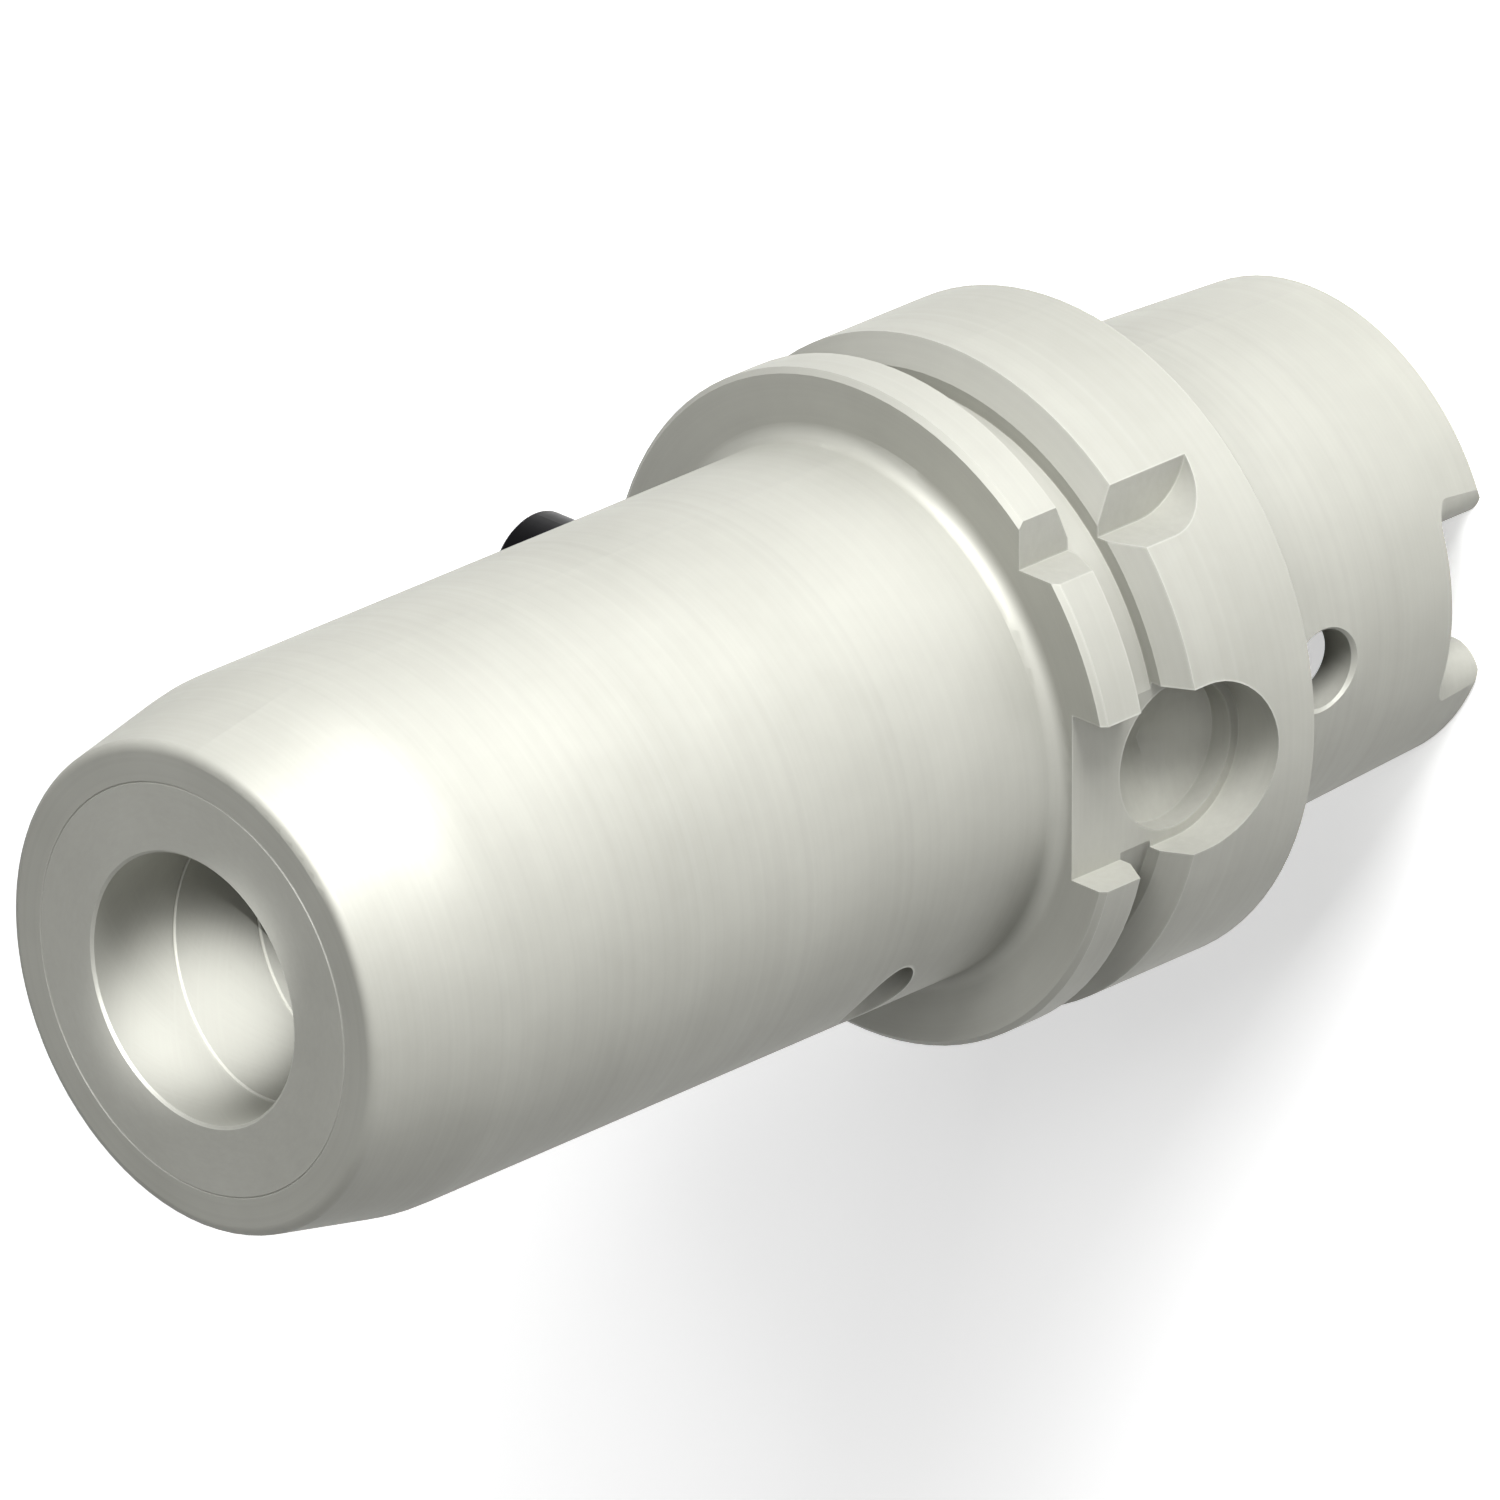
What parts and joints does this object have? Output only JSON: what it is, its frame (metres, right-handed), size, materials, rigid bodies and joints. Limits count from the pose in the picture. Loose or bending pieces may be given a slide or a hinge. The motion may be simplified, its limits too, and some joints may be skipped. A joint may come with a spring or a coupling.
{
  "type": "hydraulic expansion chuck",
  "caption": "Hydraulic tool chuck with a flanged hollow taper shank, an expansion sleeve, a side clamping screw and a length stop.",
  "frame": {"origin": "centre of the flange's rear face, which seats on the spindle", "axes": "+Z along the tool axis towards the nose; +Y towards the clamping screw and the wide drive slot; the narrow drive slot is at -Y"},
  "size_m": [0.063, 0.063, 0.14],
  "materials": {
    "body_steel": "satin",
    "sleeve_steel": "satin",
    "blackened_steel": "satin",
    "ground_steel": "polished",
    "seal_rubber": "matte",
    "ring_plastic": "matte"
  },
  "bodies": {
    "holder": {"chuck_body": "body_steel", "expansion_sleeve": "sleeve_steel", "bleed_screw": "blackened_steel", "sealing_ball": "ground_steel"},
    "piston": {"pressure_piston": "ground_steel", "piston_seal": "seal_rubber", "piston_backup_ring": "ring_plastic"},
    "clamping_screw": {"clamping_screw": "blackened_steel"},
    "length_stop": {"stop_screw": "blackened_steel"}
  },
  "joints": [
    {"name": "piston_travel", "type": "slide", "parent": "holder", "child": "piston", "axis": [0, -1, 0], "range_m": [0, 0.005]},
    {"name": "clamping_screw_turn", "type": "hinge", "parent": "piston", "child": "clamping_screw", "pos_m": [0.0111, 0.0248, 0.042], "axis": [0, -1, 0], "range_deg": [0, 1800]},
    {"name": "stop_screw_travel", "type": "slide", "parent": "holder", "child": "length_stop", "axis": [0, 0, 1], "range_m": [0, 0.01]}
  ],
  "couplings": [
    {"joint": "clamping_screw_turn", "follows": "piston_travel", "rad_per_m": 6283.2}
  ]
}
